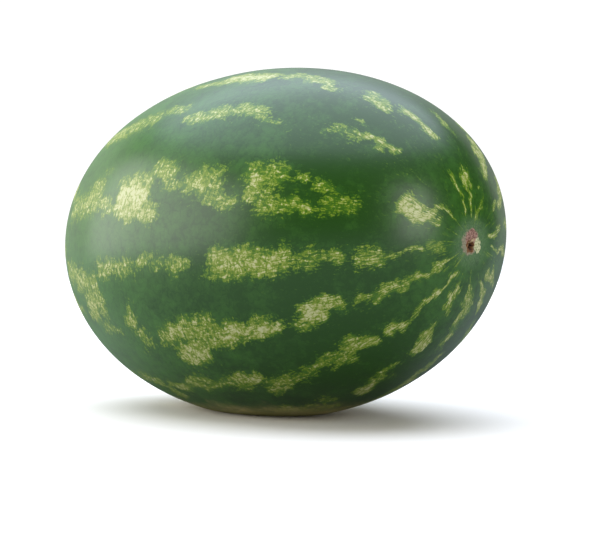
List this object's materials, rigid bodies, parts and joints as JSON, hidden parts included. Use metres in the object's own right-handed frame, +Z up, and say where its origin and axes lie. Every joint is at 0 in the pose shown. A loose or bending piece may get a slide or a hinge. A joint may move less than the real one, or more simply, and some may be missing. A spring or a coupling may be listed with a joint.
{
  "type": "watermelon",
  "caption": "Whole oblong watermelon with mottled pale stripes from end to end, a corky stem scar, and a small flat ground spot that it rests on.",
  "frame": {"origin": "the middle of the fruit's footprint on the surface it rests on, at the level of its flat ground spot", "axes": "+Z up, +X along the fruit's length towards the end with the stem scar, +Y across it"},
  "size_m": [0.3614, 0.243, 0.2391],
  "materials": {
    "rind": "waxy satin plant rind, dark green with broken yellow-green and cream stripes"
  },
  "bodies": {
    "root": {"watermelon": "rind"}
  },
  "joints": []
}
